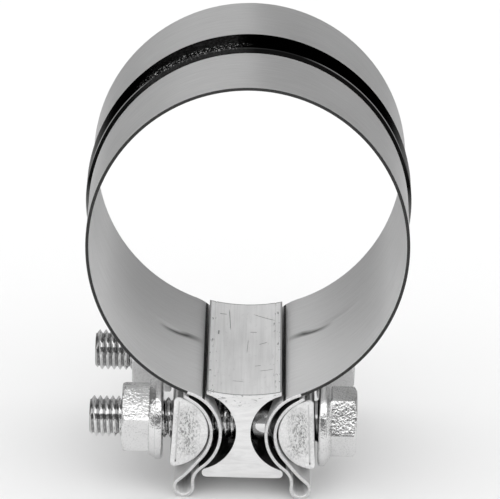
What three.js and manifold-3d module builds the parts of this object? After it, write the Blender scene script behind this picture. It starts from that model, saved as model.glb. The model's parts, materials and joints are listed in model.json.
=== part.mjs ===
// Wide-band pipe repair clamp for a 3 in (76.2 mm) pipe, shown slack, as it is before it is tightened.
//
// Axes: X runs across the clamp along its bolts, Y runs along the bore, and Z is up. Lengths are in
// millimetres. The origin is under the middle of the clamp, level with its lowest point.
//
// The band is one sheet on the real clamp. Here it is cut at the top into two halves, so that the
// halves can turn a little against each other where the real sheet flexes.

import * as THREE from 'three';
import { mergeVertices } from 'three/addons/utils/BufferGeometryUtils.js';
import Module from 'manifold-3d';

const wasm = await Module();
wasm.setup();

// ---------------------------------------------------------------- driving dimensions

const BAND = {
  width: 57.15,
  thickness: 0.75,
  halfAxisX: 38.2, // mid-surface of the slack, slightly oval ring
  halfAxisZ: 40.65,
  leaveAngle: 160.4, // degrees from the top, where the sheet turns off the ring into its curl
  topSlit: 0.3,
};

const BEAD = {
  width: 12.7,
  crownWidth: 9.3,
  rise: 0.95,
  fadeStart: 80, // degrees from the top, where the bead starts to flatten out
  fadeEnd: 112,
};

const CURL = {
  outerRadius: 11.3, // mid-surface radius of the outer layer
  innerRadius: 10.12, // mid-surface radius of the layer folded back round the bar
  outerEnd: 232, // degrees about the curl's centre, where each layer leaves its arc for the neck
  innerStart: 222,
  innerEnd: 121,
  lipLength: 2.2, // straight lip at the free end
};

const LOOP = {
  radius: 2.25, // mid-surface radius of the teardrop loop
  fromBoltX: 14.15, // centre of the loop, outwards from the clamp's middle and down from the bolt axis
  belowBolt: 14.3,
  start: 168, // degrees about the loop's centre
  end: 414,
};

const BAR = {
  length: 55,
  radius: 9.42,
  centreX: 17.8, // centre of the round face, from the clamp's middle
  flatInset: 0.53, // the flat lies this far short of the round face's centre
  cornerRadius: 1.2,
  splay: 2.7, // degrees that the foot of each flat leans outwards
};

const BLOCK = {
  length: 54,
  topHalfWidth: 9.05,
  topEdge: 10.9, // above the bolt axis
  baseHalfWidth: 9.8,
  baseBottom: 12.1, // below the bolt axis
  baseThickness: 2.2,
  baseEdgeRadius: 1,
  waist: 3.45,
  hollowTop: 9.9, // above the bolt axis, where each round hollow meets the block's side
};

const BOLT = {
  spacing: 39,
  length: 55.5,
  threadLength: 38,
  pitch: 1.5,
  majorRadius: 4.95,
  minorRadius: 4.1,
  shankRadius: 4.9,
  tipChamfer: 1.1,
};

const BOLT_HEAD = {
  flangeRadius: 10.95,
  rimThickness: 1.85,
  coneTopRadius: 8.2,
  coneHeight: 3.9,
  acrossFlats: 15,
  height: 9.3,
  turn: 29.8, // degrees that the hexagon is turned about the bolt
};

const NUT = {
  flangeRadius: 10.2,
  rimThickness: 1.9,
  coneTopRadius: 8.9,
  coneHeight: 3.4,
  acrossFlats: 16,
  height: 9.9,
  boreRadius: 5.15,
  turn: 49.8,
};

const SEAT_GAP = 0.35; // between a flange and the nearest point of the flat under it
const FRONT_NUT_SLACK = 1.45; // the front nut stands this much further off its bar
const HOLE_RADIUS = 6; // bolt holes through the bars and the block
const SLOT = { halfWidth: 6.4, halfHeight: 7, centreX: 8, reach: 15 }; // through both layers of a curl

// ---------------------------------------------------------------- derived layout

const radians = THREE.MathUtils.degToRad;

// A point on the ring's mid-surface, at an angle from the top, in (x, z) about the bore's axis.
function ringPoint(fromTop) {
  const angle = radians(fromTop);
  return new THREE.Vector2(BAND.halfAxisX * Math.sin(angle), BAND.halfAxisZ * Math.cos(angle));
}

function ringNormal(fromTop) {
  const angle = radians(fromTop);
  const outward = new THREE.Vector2(
    Math.sin(angle) / BAND.halfAxisX,
    Math.cos(angle) / BAND.halfAxisZ,
  );
  return outward.normalize();
}

const leaveNormal = ringNormal(BAND.leaveAngle);
const curlCentre = ringPoint(BAND.leaveAngle).addScaledVector(leaveNormal, CURL.outerRadius);
const loopCentre = new THREE.Vector2(LOOP.fromBoltX, curlCentre.y - LOOP.belowBolt);
const boreHeight = LOOP.radius + BAND.thickness / 2 - loopCentre.y;
const boltHeight = boreHeight + curlCentre.y;
const barFlatX = BAR.centreX - BAR.flatInset;

// Distance from the bolts' middle plane to the face of a flange that clears the leaning flat.
function seatX(flangeRadius) {
  return barFlatX + flangeRadius * Math.sin(radians(BAR.splay)) + SEAT_GAP;
}

// ---------------------------------------------------------------- solids

function toSolid(geometry) {
  const bare = geometry.clone();
  bare.deleteAttribute('normal');
  bare.deleteAttribute('uv');
  const merged = mergeVertices(bare, 1e-4);
  const vertProperties = new Float32Array(merged.attributes.position.array);
  const triVerts = new Uint32Array(merged.index.array);
  return new wasm.Manifold(new wasm.Mesh({ numProp: 3, vertProperties, triVerts }));
}

function toGeometry(solid) {
  const mesh = solid.getMesh();
  const geometry = new THREE.BufferGeometry();
  const positions = new Float32Array(mesh.vertProperties);
  geometry.setAttribute('position', new THREE.BufferAttribute(positions, 3));
  geometry.setIndex(new THREE.BufferAttribute(new Uint32Array(mesh.triVerts), 1));
  geometry.computeVertexNormals();
  return geometry;
}

// A closed mesh from rings of points: neighbouring rings are joined, and the first and last are capped.
function loftRings(rings) {
  const count = rings[0].length;
  const positions = rings.flat().flatMap((point) => [point.x, point.y, point.z]);
  const index = [];
  for (let ring = 0; ring + 1 < rings.length; ring += 1) {
    for (let side = 0; side < count; side += 1) {
      const a = ring * count + side;
      const b = ring * count + ((side + 1) % count);
      index.push(a, b, b + count, a, b + count, a + count);
    }
  }
  const last = (rings.length - 1) * count;
  // A sheet's end is a thin strip: its outer run of points faces its inner run.
  for (let side = 0; side < count / 2 - 1; side += 1) {
    const mirror = count - 1 - side;
    const start = [side, mirror, mirror - 1, side, mirror - 1, side + 1];
    const end = [side, mirror - 1, mirror, side, side + 1, mirror - 1];
    index.push(...start, ...end.map((corner) => last + corner));
  }
  const geometry = new THREE.BufferGeometry();
  geometry.setAttribute('position', new THREE.Float32BufferAttribute(positions, 3));
  geometry.setIndex(index);
  return geometry;
}

// A turned piece about X: the profile is a list of [x, radius] pairs that starts and ends on the axis.
function turnedAboutX(profile, segments) {
  const points = profile.map(([x, radius]) => new THREE.Vector2(radius, x));
  return new THREE.LatheGeometry(points, segments).rotateZ(-Math.PI / 2);
}

// A cylinder along X, centred on the given point.
function borer(radius, length, x, y, z, segments = 24) {
  const cylinder = new THREE.CylinderGeometry(radius, radius, length, segments).rotateZ(Math.PI / 2);
  return toSolid(cylinder.translate(x, y, z));
}

// A shape drawn in (x, z), extruded along Y and centred on the bore's middle.
function extrudedAlongY(shape, length, curveSegments) {
  const options = { depth: length, bevelEnabled: false, curveSegments };
  const geometry = new THREE.ExtrudeGeometry(shape, options);
  return geometry.rotateX(Math.PI / 2).translate(0, length / 2, 0);
}

// Two clearance holes along X, one for each bolt, through a piece that sits about the bolts' plane.
function drillForBolts(solid) {
  const through = 2 * BAR.centreX;
  return [-1, 1].reduce(
    (drilled, end) => drilled.subtract(borer(HOLE_RADIUS, through, 0, (end * BOLT.spacing) / 2, 0)),
    solid,
  );
}

// ---------------------------------------------------------------- band

function arc(centre, radius, start, end) {
  return new THREE.EllipseCurve(
    centre.x, centre.y, radius, radius, radians(start), radians(end), end < start,
  );
}

// A smooth bridge that leaves one curve and joins the next along their own directions.
function bridge(from, to, pull) {
  const start = from.getPoint(1);
  const end = to.getPoint(0);
  const reach = start.distanceTo(end) * pull;
  return new THREE.CubicBezierCurve(
    start,
    start.clone().addScaledVector(from.getTangent(1), reach),
    end.clone().addScaledVector(to.getTangent(0), -reach),
    end,
  );
}

// The sheet's mid-line on the right side, from the slit at the top to the free end inside the curl.
// Each point carries the share of the bead's full height that it has.
function bandPath() {
  const slitAngle = THREE.MathUtils.radToDeg(Math.asin(BAND.topSlit / 2 / BAND.halfAxisX));
  const ringSteps = 38;
  const ring = [];
  for (let step = 0; step <= ringSteps; step += 1) {
    const angle = THREE.MathUtils.lerp(slitAngle, BAND.leaveAngle, step / ringSteps);
    const bead = 1 - THREE.MathUtils.smoothstep(angle, BEAD.fadeStart, BEAD.fadeEnd);
    ring.push({ point: ringPoint(angle), bead });
  }

  const curlStart = THREE.MathUtils.radToDeg(Math.atan2(-leaveNormal.y, -leaveNormal.x));
  const barCentre = new THREE.Vector2(BAR.centreX, curlCentre.y);
  const outer = arc(curlCentre, CURL.outerRadius, curlStart, CURL.outerEnd);
  const loop = arc(loopCentre, LOOP.radius, LOOP.start, LOOP.end);
  const inner = arc(barCentre, CURL.innerRadius, CURL.innerStart, CURL.innerEnd);
  const innerTip = inner.getPoint(1);
  const lip = new THREE.LineCurve(
    innerTip,
    innerTip.clone().addScaledVector(inner.getTangent(1), CURL.lipLength),
  );
  const runs = [
    [outer, 12],
    [bridge(outer, loop, 0.4), 4],
    [loop, 12],
    [bridge(loop, inner, 0.36), 5],
    [inner, 9],
    [lip, 1],
  ];
  const folded = runs.flatMap(([curve, steps]) => curve.getPoints(steps).slice(1));
  return [...ring, ...folded.map((point) => ({ point, bead: 0 }))];
}

// The sheet's direction at each point of the path, turned a quarter turn to point out of the bore.
function pathNormals(path) {
  return path.map((_, index) => {
    const before = path[Math.max(index - 1, 0)].point;
    const after = path[Math.min(index + 1, path.length - 1)].point;
    const along = after.clone().sub(before).normalize();
    return new THREE.Vector2(-along.y, along.x);
  });
}

// Stations across the band: [y, share of the bead's height].
function bandStations() {
  const right = [
    [BEAD.crownWidth / 2, 1],
    [BEAD.width / 2, 0],
    [BAND.width / 2, 0],
  ];
  const left = right.map(([y, share]) => [-y, share]).reverse();
  return [...left, ...right];
}

// One half of the band. side is 1 for the right half and -1 for its mirror image.
function bandHalf(side) {
  const path = bandPath();
  const normals = pathNormals(path);
  const stations = bandStations();
  const half = BAND.thickness / 2;
  const rings = path.map(({ point, bead }, index) => {
    const layer = (offset) => stations.map(([y, share]) => {
      const shifted = point.clone().addScaledVector(normals[index], offset + BEAD.rise * bead * share);
      return new THREE.Vector3(side * shifted.x, y, boreHeight + shifted.y);
    });
    const loop = [...layer(half), ...layer(-half).reverse()];
    return side > 0 ? loop.reverse() : loop;
  });
  let solid = toSolid(loftRings(rings));
  for (const end of [-1, 1]) {
    const slot = new THREE.CylinderGeometry(SLOT.halfWidth, SLOT.halfWidth, SLOT.reach, 24);
    slot.rotateZ(Math.PI / 2).scale(1, 1, SLOT.halfHeight / SLOT.halfWidth);
    slot.translate(side * SLOT.centreX, (end * BOLT.spacing) / 2, boltHeight);
    solid = solid.subtract(toSolid(slot));
  }
  return toGeometry(solid);
}

// ---------------------------------------------------------------- bars and block

// The right bar's end shape, about the centre of its round face: the round face looks at the block.
function barShape() {
  const { radius, flatInset, cornerRadius } = BAR;
  const cornerX = -flatInset - cornerRadius;
  const cornerZ = Math.sqrt((radius - cornerRadius) ** 2 - cornerX ** 2);
  const tangent = Math.atan2(cornerZ, cornerX);
  const shape = new THREE.Shape();
  shape.absarc(cornerX, cornerZ, cornerRadius, 0, tangent, false);
  shape.absarc(0, 0, radius, tangent, 2 * Math.PI - tangent, false);
  shape.absarc(cornerX, -cornerZ, cornerRadius, -tangent, 0, false);
  return shape;
}

function barGeometry(side) {
  const leaning = extrudedAlongY(barShape(), BAR.length, 10).rotateY(radians(-BAR.splay));
  const bar = toGeometry(drillForBolts(toSolid(leaning)));
  if (side < 0) {
    bar.rotateZ(Math.PI);
  }
  return bar.translate(side * BAR.centreX, 0, boltHeight);
}

// The right half of the block's outline about the bolt axis, from its top face round to its underside.
function blockRightSide() {
  const { topHalfWidth, topEdge, baseHalfWidth, baseBottom, baseThickness, baseEdgeRadius } = BLOCK;
  const bore = new THREE.Vector2(0, boreHeight - boltHeight);
  const topRadius = Math.hypot(topHalfWidth, bore.y - topEdge);
  const topSpread = THREE.MathUtils.radToDeg(Math.asin(topHalfWidth / topRadius));

  const sideX = topHalfWidth - BLOCK.waist / 2;
  const hollowRadius = (sideX ** 2 + BLOCK.hollowTop ** 2) / (2 * sideX);
  const hollow = new THREE.Vector2(BLOCK.waist / 2 + hollowRadius, 0);
  const baseTop = baseThickness - baseBottom;
  const angleAt = (z) => THREE.MathUtils.radToDeg(Math.asin(z / hollowRadius));

  const edgeX = baseHalfWidth - baseEdgeRadius;
  const upperEdge = new THREE.Vector2(edgeX, baseTop - baseEdgeRadius);
  const lowerEdge = new THREE.Vector2(edgeX, baseEdgeRadius - baseBottom);
  return [
    ...arc(bore, topRadius, -90, -90 + topSpread).getPoints(4),
    ...arc(hollow, hollowRadius, 180 - angleAt(BLOCK.hollowTop), 180 - angleAt(baseTop)).getPoints(14),
    ...arc(upperEdge, baseEdgeRadius, 90, 0).getPoints(3),
    ...arc(lowerEdge, baseEdgeRadius, 0, -90).getPoints(3),
  ];
}

function blockGeometry() {
  const right = blockRightSide();
  const left = right.map((point) => new THREE.Vector2(-point.x, point.y)).reverse();
  const shape = new THREE.Shape([...right, ...left.slice(0, -1)]);
  const block = drillForBolts(toSolid(extrudedAlongY(shape, BLOCK.length, 1)));
  return toGeometry(block).translate(0, 0, boltHeight);
}

// ---------------------------------------------------------------- fasteners

// A threaded rod along +X from the origin. Its surface is one strip of a few lines wound round the rod.
function threadedRod(length) {
  const profile = [
    { along: 0, radius: BOLT.minorRadius },
    { along: 0.42, radius: BOLT.majorRadius },
    { along: 0.56, radius: BOLT.majorRadius },
  ];
  const sides = 12;
  const lines = profile.length * (Math.ceil(length / BOLT.pitch) + 1) + 1;
  const positions = [];
  for (let line = 0; line < lines; line += 1) {
    const { along, radius } = profile[line % profile.length];
    for (let side = 0; side <= sides; side += 1) {
      const turn = side / sides;
      const x = (Math.floor(line / profile.length) + along + turn) * BOLT.pitch;
      positions.push(x, radius * Math.cos(2 * Math.PI * turn), radius * Math.sin(2 * Math.PI * turn));
    }
  }
  const row = sides + 1;
  const index = [];
  for (let line = 0; line + 1 < lines; line += 1) {
    for (let side = 0; side < sides; side += 1) {
      const a = line * row + side;
      index.push(a, a + 1, a + row + 1, a, a + row + 1, a + row);
    }
  }
  capThread(positions, index, { row, sides, turnLines: profile.length, lines });
  const geometry = new THREE.BufferGeometry();
  geometry.setAttribute('position', new THREE.Float32BufferAttribute(positions, 3));
  geometry.setIndex(index);
  return toSolid(geometry);
}

// Closes both ends of the wound strip with fans round a point on the axis. Each end's rim is one turn of
// the winding and the short step where that turn meets itself.
function capThread(positions, index, { row, sides, turnLines, lines }) {
  const rims = [
    { line: 0, stepSide: 0, flip: false },
    { line: lines - 1, stepSide: sides, flip: true },
  ];
  for (const { line, stepSide, flip } of rims) {
    const rim = [];
    for (let side = 0; side <= sides; side += 1) {
      rim.push(line * row + side);
    }
    const step = [];
    for (let offset = 1; offset < turnLines; offset += 1) {
      step.push((flip ? line - offset : line + offset) * row + stepSide);
    }
    const loop = flip ? [...rim, ...step] : [...rim, ...step.reverse()];
    const centre = positions.length / 3;
    positions.push(positions[3 * loop[Math.floor(sides / 2)]], 0, 0);
    loop.forEach((corner, place) => {
      const next = loop[(place + 1) % loop.length];
      index.push(...(flip ? [centre, corner, next] : [centre, next, corner]));
    });
  }
}

// A hexagon with a turned flange: the flange's face is at x = 0 and the hexagon points along +X.
function flangedHexagon(size) {
  const { flangeRadius, rimThickness, coneTopRadius, coneHeight, acrossFlats, height, turn } = size;
  const cornerRadius = acrossFlats / Math.sqrt(3);
  const chamfer = (cornerRadius - acrossFlats / 2) * Math.tan(radians(30));
  const foot = rimThickness / 2; // the hexagon starts inside the flange
  const flange = turnedAboutX(
    [
      [0, 0],
      [0, flangeRadius],
      [rimThickness, flangeRadius],
      [coneHeight, coneTopRadius],
      [coneHeight, 0],
    ],
    28,
  );
  const envelope = turnedAboutX(
    [
      [foot, 0],
      [foot, cornerRadius],
      [height - chamfer, cornerRadius],
      [height, acrossFlats / 2],
      [height, 0],
    ],
    36,
  );
  const prism = new THREE.CylinderGeometry(cornerRadius, cornerRadius, height, 6);
  prism.rotateZ(Math.PI / 2).translate(height / 2, 0, 0).rotateX(radians(turn));
  const hexagon = toSolid(prism).intersect(toSolid(envelope));
  return toSolid(flange).add(hexagon);
}

// The bolt's head points along +X, and the face under the head is at x = 0.
function boltGeometry() {
  const { length, threadLength, majorRadius, minorRadius, tipChamfer, shankRadius, pitch } = BOLT;
  const tip = -length;
  const threadEnd = threadLength - length;
  const proud = 0.1;
  const envelope = turnedAboutX(
    [
      [tip, 0],
      [tip, majorRadius - tipChamfer],
      [tip + tipChamfer, majorRadius + proud],
      [threadEnd, majorRadius + proud],
      [threadEnd + pitch, minorRadius - proud],
      [threadEnd + pitch, 0],
    ],
    28,
  );
  const rod = threadedRod(threadLength + 3 * pitch).translate([tip - 1.5 * pitch, 0, 0]);
  const shankEnd = BOLT_HEAD.rimThickness / 2; // inside the head's flange
  const shank = turnedAboutX(
    [[threadEnd, 0], [threadEnd, shankRadius], [shankEnd, shankRadius], [shankEnd, 0]],
    28,
  );
  const thread = rod.intersect(toSolid(envelope));
  return toGeometry(thread.add(toSolid(shank)).add(flangedHexagon(BOLT_HEAD)));
}

// The nut's flange face looks along +X, and the face is at x = 0.
function nutGeometry() {
  const bore = borer(NUT.boreRadius, 4 * NUT.height, 0, 0, 0);
  return toGeometry(flangedHexagon(NUT).subtract(bore)).rotateZ(Math.PI);
}

// ---------------------------------------------------------------- assembly

function namedMesh(name, geometry, material, x = 0, y = 0, z = 0) {
  const mesh = new THREE.Mesh(geometry, material);
  mesh.name = name;
  mesh.position.set(x, y, z);
  return mesh;
}

const bandSteel = new THREE.MeshStandardMaterial({ color: 0xb4b4b2, roughness: 0.32, metalness: 1 });
const blockMetal = new THREE.MeshStandardMaterial({ color: 0xcfcfcd, roughness: 0.45, metalness: 1 });
const barMetal = new THREE.MeshStandardMaterial({ color: 0xd6d6d4, roughness: 0.5, metalness: 1 });
const zincPlate = new THREE.MeshStandardMaterial({ color: 0xdadadb, roughness: 0.22, metalness: 1 });

const clamp = new THREE.Group();
clamp.add(namedMesh('band_left_half', bandHalf(-1), bandSteel));
clamp.add(namedMesh('band_right_half', bandHalf(1), bandSteel));
clamp.add(namedMesh('spacer_block', blockGeometry(), blockMetal));
clamp.add(namedMesh('left_bar', barGeometry(-1), barMetal));
clamp.add(namedMesh('right_bar', barGeometry(1), barMetal));

const bolt = boltGeometry();
const nut = nutGeometry();
const headX = seatX(BOLT_HEAD.flangeRadius);
const nutX = -seatX(NUT.flangeRadius);
const fastenings = [
  { end: 'front', y: -BOLT.spacing / 2, nutSlack: FRONT_NUT_SLACK },
  { end: 'rear', y: BOLT.spacing / 2, nutSlack: 0 },
];
for (const { end, y, nutSlack } of fastenings) {
  clamp.add(namedMesh(`${end}_bolt`, bolt, zincPlate, headX, y, boltHeight));
  clamp.add(namedMesh(`${end}_nut`, nut, zincPlate, nutX - nutSlack, y, boltHeight));
}

export default clamp;
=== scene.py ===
"""Looks of a wide-band pipe repair clamp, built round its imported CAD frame.

Lengths are metres, in the frame's axes: X runs along the bolts, Y along the bore and Z up.
"""

import json
import math

import bmesh
import bpy
import numpy as np
from mathutils import Matrix, Vector


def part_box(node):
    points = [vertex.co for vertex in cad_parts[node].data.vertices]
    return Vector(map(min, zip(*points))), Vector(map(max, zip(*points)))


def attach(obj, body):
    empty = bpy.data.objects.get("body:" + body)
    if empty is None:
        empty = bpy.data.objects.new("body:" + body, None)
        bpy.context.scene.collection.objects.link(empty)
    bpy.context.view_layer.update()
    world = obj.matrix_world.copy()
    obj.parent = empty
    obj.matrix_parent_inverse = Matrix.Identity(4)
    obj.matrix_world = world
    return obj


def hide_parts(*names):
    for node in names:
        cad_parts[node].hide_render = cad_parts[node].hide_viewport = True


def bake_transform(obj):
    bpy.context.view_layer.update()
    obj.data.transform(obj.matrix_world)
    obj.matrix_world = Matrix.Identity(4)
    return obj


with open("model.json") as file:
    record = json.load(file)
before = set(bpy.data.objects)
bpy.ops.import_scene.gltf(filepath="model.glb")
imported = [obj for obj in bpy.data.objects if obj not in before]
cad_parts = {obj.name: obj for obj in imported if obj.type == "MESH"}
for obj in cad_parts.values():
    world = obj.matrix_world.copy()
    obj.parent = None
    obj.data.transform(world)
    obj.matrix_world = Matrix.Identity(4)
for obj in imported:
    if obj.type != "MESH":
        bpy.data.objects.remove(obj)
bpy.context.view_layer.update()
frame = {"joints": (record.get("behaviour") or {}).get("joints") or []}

MM = 0.001
JOINTS = {joint["name"]: joint for joint in frame["joints"]}


# ------------------------------------------------------------------ places, from the frame

BAR_CENTRE_X, _, BOLT_Z = JOINTS["right_bar_rock"]["pos_m"]
HEAD_X, FRONT_Y, _ = JOINTS["front_bolt_spin"]["pos_m"]
REAR_Y = JOINTS["rear_bolt_spin"]["pos_m"][1]
RING_TOP_Z = JOINTS["band_flex"]["pos_m"][2]
BAND_LOW, BAND_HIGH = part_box("band_right_half")
BAND_WIDTH = BAND_HIGH.y - BAND_LOW.y
BLOCK_LOW, BLOCK_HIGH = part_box("spacer_block")
BAR_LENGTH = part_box("right_bar")[1].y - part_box("right_bar")[0].y
BOLT_TIP_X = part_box("front_bolt")[0].x


# ------------------------------------------------------------------ driving dimensions

SHEET = 0.75 * MM
BEAD_RISE = 0.93 * MM
BEAD_HALF_WIDTH = 6.1 * MM
BEAD_CROWN_HALF_WIDTH = 4.7 * MM
BEAD_WALL = BEAD_HALF_WIDTH - BEAD_CROWN_HALF_WIDTH
BEAD_EASE = 0.35 * MM  # how far the bead's corners are rounded, across the band
BEAD_FADE = (80, 112)  # degrees from the top
CREASE_GROWS = (126, 151)  # degrees from the top, for the shallow crease beside the block
CREASE_ENDS = (154, 160)
CREASE_DEPTH = 0.42 * MM
CREASE_WIDTH = 0.9 * MM
CREASE_LEFT_Y = 2.2 * MM  # where each crease starts, back from the band's middle
CREASE_RIGHT_Y = 4.8 * MM
CREASE_DRIFT = 1.6 * MM  # how much further back each one lies once it is fully grown

RING_HALF_X = 38.2 * MM
RING_HALF_Z = 40.65 * MM
BORE_Z = RING_TOP_Z - RING_HALF_Z
LEAVE_ANGLE = 160.4  # degrees from the top, where the sheet turns off the ring into its curl

CURL_RADIUS = 11.3 * MM
FOLD_RADIUS = 10.12 * MM  # the layer folded back round the bar
CURL_END = 232  # degrees about the curl's centre
FOLD_ENDS = (222, 121)
LIP_LENGTH = 2.2 * MM
LOOP_RADIUS = 2.25 * MM
LOOP_CENTRE_X = 14.15 * MM
LOOP_ENDS = (168, 414)
CUT_CHAMFER = 0.1 * MM

SLOT_CENTRE_X = 8 * MM
SLOT_LENGTH = 15 * MM  # along X, so that one cutter passes through both layers of a curl
SLOT_HALF_WIDTH = 6.4 * MM
SLOT_HALF_HEIGHT = 7 * MM

BAR_RADIUS = 9.42 * MM
BAR_FLAT_INSET = 0.53 * MM
BAR_CORNER = 1.2 * MM
BAR_SPLAY = math.radians(2.7)
HOLE_RADIUS = 6 * MM
BAR_HOLE_LENGTH = 30 * MM  # longer than the bar is thick

BLOCK_TOP_HALF = 9.05 * MM
BLOCK_TOP_EDGE = 10.9 * MM  # above the bolt axis
BLOCK_HOLLOW_TOP = 9.9 * MM
BLOCK_WAIST = 3.45 * MM
BLOCK_BASE_HALF = 9.8 * MM
BLOCK_BASE_THICKNESS = 2.2 * MM
BLOCK_HOLE_LENGTH = 12 * MM  # longer than the block is thick beside its holes

PITCH = 1.5 * MM
THREAD_LENGTH = 38 * MM
THREAD_MAJOR = 4.97 * MM
THREAD_MINOR = 4.1 * MM
SHANK_RADIUS = 4.9 * MM

BEVEL_SEGMENTS = 3
SHARP_DEGREES = 32  # an edge sharper than this is shaded as an edge
FASTENER_SHARP_DEGREES = 28


# ------------------------------------------------------------------ mesh helpers

def make_object(name, vertices, faces, materials, sharp_degrees=SHARP_DEGREES):
    """A mesh object, smooth shaded except across edges sharper than the given angle."""
    mesh = bpy.data.meshes.new(name)
    mesh.from_pydata([tuple(vertex) for vertex in vertices], [], faces)
    face_outward(mesh)
    for material in materials:
        mesh.materials.append(material)
    finish_shading(mesh, sharp_degrees)
    thing = bpy.data.objects.new(name, mesh)
    bpy.context.scene.collection.objects.link(thing)
    return thing


def face_outward(mesh):
    shell = bmesh.new()
    shell.from_mesh(mesh)
    bmesh.ops.recalc_face_normals(shell, faces=shell.faces)
    shell.to_mesh(mesh)
    shell.free()


def finish_shading(mesh, sharp_degrees):
    mesh.update()
    mesh.shade_smooth()
    mesh.set_sharp_from_angle(angle=math.radians(sharp_degrees))


def grid_faces(rows, columns, wrap_rows=False, wrap_columns=True):
    """Quads over a grid of vertices stored row by row."""
    faces = []
    for row in range(rows if wrap_rows else rows - 1):
        following = (row + 1) % rows
        for column in range(columns if wrap_columns else columns - 1):
            beside = (column + 1) % columns
            faces.append((
                row * columns + column,
                row * columns + beside,
                following * columns + beside,
                following * columns + column,
            ))
    return faces


def replace_with_evaluated(thing):
    """Applies every modifier on an object to its mesh."""
    graph = bpy.context.evaluated_depsgraph_get()
    mesh = bpy.data.meshes.new_from_object(thing.evaluated_get(graph))
    thing.modifiers.clear()
    thing.data = mesh
    finish_shading(mesh, SHARP_DEGREES)


def cut(thing, cutters):
    """Cuts closed shapes out of a piece, then removes the cutters."""
    for cutter in cutters:
        modifier = thing.modifiers.new("cut", "BOOLEAN")
        modifier.operation = "DIFFERENCE"
        modifier.solver = "EXACT"
        modifier.object = cutter
    replace_with_evaluated(thing)
    for cutter in cutters:
        bpy.data.objects.remove(cutter)


def rod_along_x(centre, radius_y, radius_z, length):
    """A closed elliptical rod, used as a cutter for holes along the bolts."""
    segments = 64
    turns = np.linspace(0, 2 * math.pi, segments, endpoint=False)
    ends = []
    for x in (-length / 2, length / 2):
        ends += [
            (centre[0] + x, centre[1] + radius_y * math.cos(t), centre[2] + radius_z * math.sin(t))
            for t in turns
        ]
    faces = grid_faces(2, segments)
    faces += [tuple(range(segments)), tuple(range(segments, 2 * segments))]
    return make_object("cutter", ends, faces, [])


def bevel(thing, width, angle):
    """Bevels the edges sharper than the given angle in degrees."""
    modifier = thing.modifiers.new("bevel", "BEVEL")
    modifier.width = width
    modifier.segments = BEVEL_SEGMENTS
    modifier.limit_method = "ANGLE"
    modifier.angle_limit = math.radians(angle)
    replace_with_evaluated(thing)


def bolt_holes(x, length):
    """Cutters for the holes that the two bolts pass through, centred at x."""
    return [
        rod_along_x((x, y, BOLT_Z), HOLE_RADIUS, HOLE_RADIUS, length)
        for y in (FRONT_Y, REAR_Y)
    ]


def stand_for(piece, node):
    """Shows a piece in place of the CAD node of this name and rides it on the body of the same name."""
    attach(piece, node)
    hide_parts(node)


def leaned(outline, turn):
    """An outline in (x, z) turned about its origin, anticlockwise as seen from the front."""
    return outline @ np.array([
        (math.cos(turn), math.sin(turn)),
        (-math.sin(turn), math.cos(turn)),
    ])


def smooth_step(value, low, high):
    share = np.clip((value - low) / (high - low), 0, 1)
    return share * share * (3 - 2 * share)


def arc_points(centre, radius, start, end, count):
    turns = np.radians(np.linspace(start, end, count))
    return np.stack([centre[0] + radius * np.cos(turns), centre[1] + radius * np.sin(turns)], 1)


def bridge_points(before, after, pull, count):
    """A curve from the last point of one run to the first of the next, along both their directions."""
    start, end = before[-1], after[0]
    reach = np.linalg.norm(end - start) * pull
    leave = (before[-1] - before[-2]) / np.linalg.norm(before[-1] - before[-2])
    arrive = (after[1] - after[0]) / np.linalg.norm(after[1] - after[0])
    t = np.linspace(0, 1, count)[:, None]
    return (
        (1 - t) ** 3 * start
        + 3 * (1 - t) ** 2 * t * (start + leave * reach)
        + 3 * (1 - t) * t ** 2 * (end - arrive * reach)
        + t ** 3 * end
    )


# ------------------------------------------------------------------ band

def ring_point(degrees):
    turn = np.radians(degrees)
    return np.stack([RING_HALF_X * np.sin(turn), RING_HALF_Z * np.cos(turn)], -1)


def ring_normal(degrees):
    turn = np.radians(degrees)
    normal = np.stack([np.sin(turn) / RING_HALF_X, np.cos(turn) / RING_HALF_Z], -1)
    return normal / np.linalg.norm(normal, axis=-1, keepdims=True)


CURL_CENTRE = ring_point(LEAVE_ANGLE) + ring_normal(LEAVE_ANGLE) * CURL_RADIUS


def right_half_path():
    """The sheet's mid-line in (x, z) about the bore, from the top to the free end inside the curl.

    The second result is each point's angle from the top, which stays at LEAVE_ANGLE past the ring."""
    angles = np.linspace(0, LEAVE_ANGLE, 116)
    inward = -ring_normal(LEAVE_ANGLE)
    curl_start = math.degrees(math.atan2(inward[1], inward[0]))
    loop_centre = (LOOP_CENTRE_X, LOOP_RADIUS + SHEET / 2 - BORE_Z)
    outer = arc_points(CURL_CENTRE, CURL_RADIUS, curl_start, CURL_END, 34)
    loop = arc_points(loop_centre, LOOP_RADIUS, *LOOP_ENDS, 34)
    inner = arc_points((BAR_CENTRE_X, CURL_CENTRE[1]), FOLD_RADIUS, *FOLD_ENDS, 28)
    along = (inner[-1] - inner[-2]) / np.linalg.norm(inner[-1] - inner[-2])
    lip = inner[-1] + along * np.linspace(0, LIP_LENGTH, 5)[:, None]
    runs = [
        outer,
        bridge_points(outer, loop, 0.4, 12),
        loop,
        bridge_points(loop, inner, 0.36, 12),
        inner,
        lip,
    ]
    points = np.concatenate([ring_point(angles)] + [run[1:] for run in runs])
    spare = len(points) - len(angles)
    return points, np.concatenate([angles, np.full(spare, LEAVE_ANGLE)])


def whole_path():
    """Both halves joined at the top, from the left free end to the right one.

    The other results are each point's outward normal and its angle from the top."""
    right, angles = right_half_path()
    left = right[:0:-1] * [-1, 1]
    points = np.concatenate([left, right])
    ahead = np.concatenate([points[1:], points[-1:]])
    behind = np.concatenate([points[:1], points[:-1]])
    along = ahead - behind
    along /= np.linalg.norm(along, axis=1, keepdims=True)
    normals = np.stack([-along[:, 1], along[:, 0]], 1)
    return points, normals, np.concatenate([angles[:0:-1], angles])


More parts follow.
